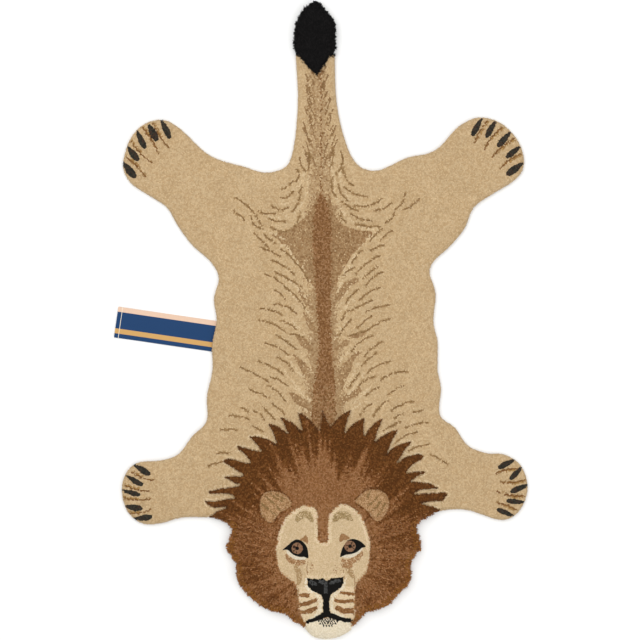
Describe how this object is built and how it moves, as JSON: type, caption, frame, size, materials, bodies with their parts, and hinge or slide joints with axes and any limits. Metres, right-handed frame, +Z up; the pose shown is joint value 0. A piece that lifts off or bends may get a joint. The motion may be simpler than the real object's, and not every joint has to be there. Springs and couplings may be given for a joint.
{
  "type": "lion shaped kids rug",
  "caption": "Tufted wool rug cut to the outline of a lion's hide, with deeper mane and tail tuft pile and a bare woven label at its left edge; lies flat on the floor.",
  "frame": {"origin": "middle of the whole rug with its label, on the floor plane", "axes": "+Z up out of the pile, +Y towards the tail, +X towards the right paws seen from above with the head at the bottom"},
  "size_m": [0.9746, 1.507, 0.0254],
  "materials": {
    "wool_pile": "cut wool pile, heathered sand with brown markings",
    "mane_pile": "longer cut wool pile, mottled browns",
    "tuft_pile": "long black wool shag",
    "cotton_backing": "plain woven cotton canvas",
    "label_cloth": "woven satin ribbon with wide plain stripes"
  },
  "bodies": {
    "root": {"rug": "wool_pile", "label": "label_cloth"}
  },
  "joints": []
}
